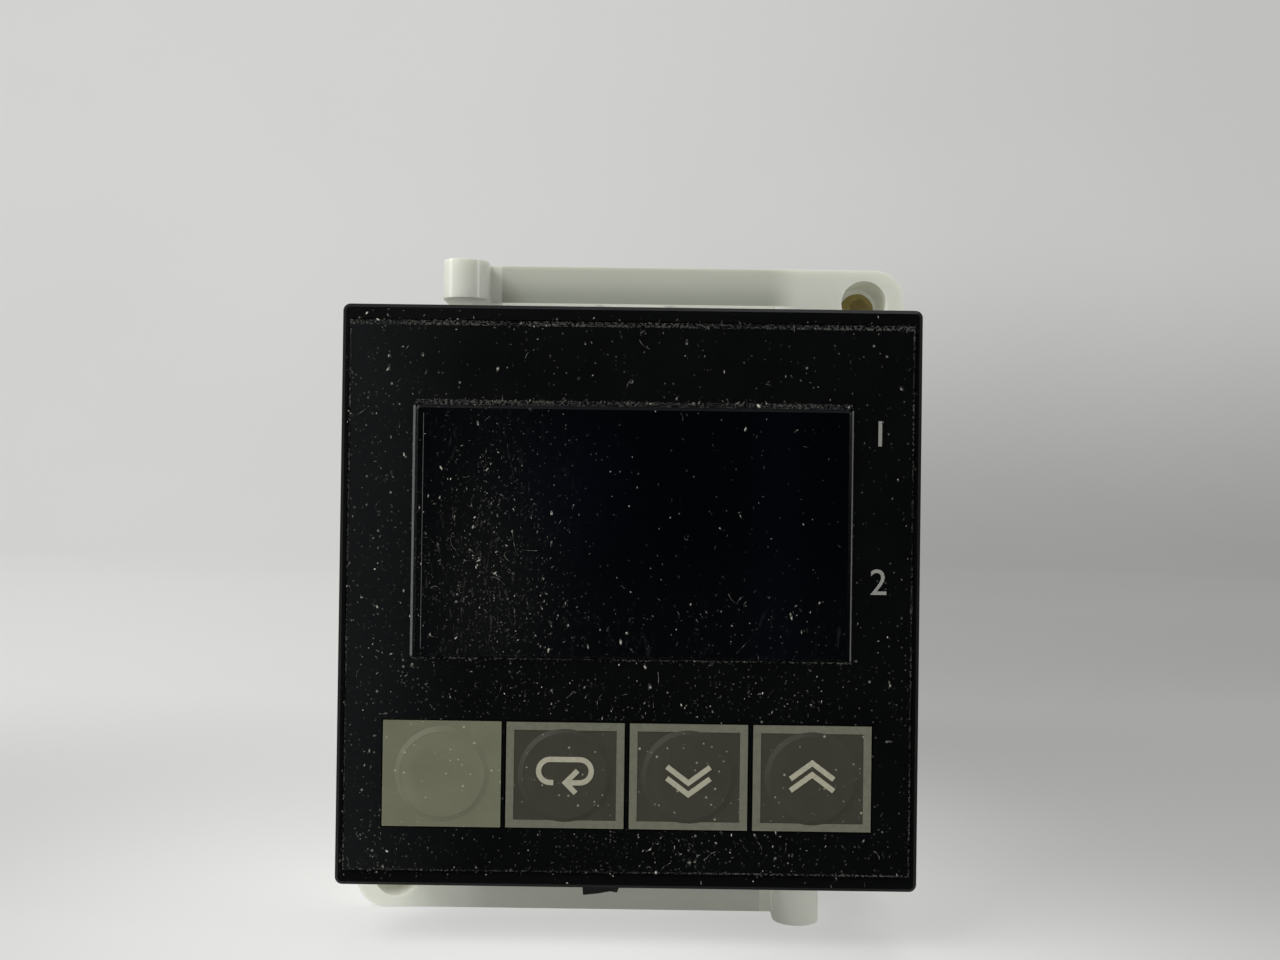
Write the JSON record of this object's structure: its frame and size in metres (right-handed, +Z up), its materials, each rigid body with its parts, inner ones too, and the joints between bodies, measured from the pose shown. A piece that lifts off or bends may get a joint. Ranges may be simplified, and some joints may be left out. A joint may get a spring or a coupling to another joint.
{
  "type": "pid temperature controller",
  "caption": "Square panel-mounted temperature controller with a smoked window, a row of push keys, a draw-out front unit, rear screw terminals and a slide-on mounting adapter.",
  "frame": {"origin": "centre of the panel cut-out, in the plane of the panel's front surface, where the packing's rear face lies", "axes": "+X to the right seen from the front, +Y into the panel along the case, +Z up"},
  "size_m": [0.0488, 0.0851, 0.058],
  "materials": {
    "black_housing": "fine moulded texture",
    "black_sheet": "printed film, semi-gloss",
    "smoked_window": "smoked clear plastic",
    "key_fields": "printed film, semi-matte",
    "white_plastic": "moulded, matte",
    "display_glass": "clear",
    "circuit_board": "solder resist",
    "black_component": "moulded, matte",
    "relay_blue": "moulded",
    "ferrite": "matte",
    "winding_tape": "film tape",
    "capacitor_sleeve": "shrink sleeve",
    "switch_steel": "stamped",
    "packing_rubber": "matte",
    "terminal_brass": "nickel-plated brass",
    "screw_steel": "zinc-plated",
    "adapter_plastic": "translucent natural plastic",
    "yellow_zinc": "yellow zinc plating"
  },
  "bodies": {
    "rear_case": {"rear_case": "black_housing", "panel_packing": "packing_rubber", "terminal_block": "black_housing", "left_terminal_plates": "terminal_brass", "middle_terminal_plates": "terminal_brass", "right_terminal_plates": "terminal_brass", "terminal_washers": "screw_steel", "terminal_screws": "screw_steel"},
    "front_unit": {"front_bezel": "black_housing", "front_sheet": "black_sheet", "display_window": "smoked_window", "display_glass": "display_glass", "display_holder": "white_plastic", "light_guide": "white_plastic", "display_board": "circuit_board", "control_board": "circuit_board", "power_board": "circuit_board", "control_board_socket": "black_component", "power_board_socket": "black_component", "processor_chip": "black_component", "output_relay": "relay_blue", "alarm_relay": "relay_blue", "transformer_core": "ferrite", "transformer_bobbin": "black_component", "transformer_winding": "winding_tape", "mains_capacitor": "capacitor_sleeve", "output_capacitor": "capacitor_sleeve", "board_spacer": "white_plastic", "level_switch": "switch_steel", "mode_switch": "switch_steel", "down_switch": "switch_steel", "up_switch": "switch_steel"},
    "level_key": {"level_key": "key_fields", "level_plunger": "black_component", "level_switch_stem": "black_component"},
    "mode_key": {"mode_key": "key_fields", "mode_plunger": "black_component", "mode_switch_stem": "black_component"},
    "down_key": {"down_key": "key_fields", "down_plunger": "black_component", "down_switch_stem": "black_component"},
    "up_key": {"up_key": "key_fields", "up_plunger": "black_component", "up_switch_stem": "black_component"},
    "mounting_adapter": {"adapter_frame": "adapter_plastic"},
    "upper_clamp_screw": {"upper_clamp_screw": "yellow_zinc"},
    "lower_clamp_screw": {"lower_clamp_screw": "yellow_zinc"}
  },
  "joints": [
    {"name": "front_unit_draw", "type": "slide", "parent": "rear_case", "child": "front_unit", "axis": [0, -1, 0], "range_m": [0, 0.072]},
    {"name": "adapter_slide", "type": "slide", "parent": "rear_case", "child": "mounting_adapter", "axis": [0, 1, 0], "range_m": [0, 0.075]},
    {"name": "upper_clamp_feed", "type": "slide", "parent": "mounting_adapter", "child": "upper_clamp_screw", "axis": [0, -1, 0], "range_m": [-0.006, 0.006]},
    {"name": "lower_clamp_feed", "type": "slide", "parent": "mounting_adapter", "child": "lower_clamp_screw", "axis": [0, -1, 0], "range_m": [-0.006, 0.006]},
    {"name": "level_key_press", "type": "slide", "parent": "front_unit", "child": "level_key", "axis": [0, 1, 0], "range_m": [0, 0.0003], "stiffness_N_per_m": 4000},
    {"name": "mode_key_press", "type": "slide", "parent": "front_unit", "child": "mode_key", "axis": [0, 1, 0], "range_m": [0, 0.0003], "stiffness_N_per_m": 4000},
    {"name": "down_key_press", "type": "slide", "parent": "front_unit", "child": "down_key", "axis": [0, 1, 0], "range_m": [0, 0.0003], "stiffness_N_per_m": 4000},
    {"name": "up_key_press", "type": "slide", "parent": "front_unit", "child": "up_key", "axis": [0, 1, 0], "range_m": [0, 0.0003], "stiffness_N_per_m": 4000}
  ]
}
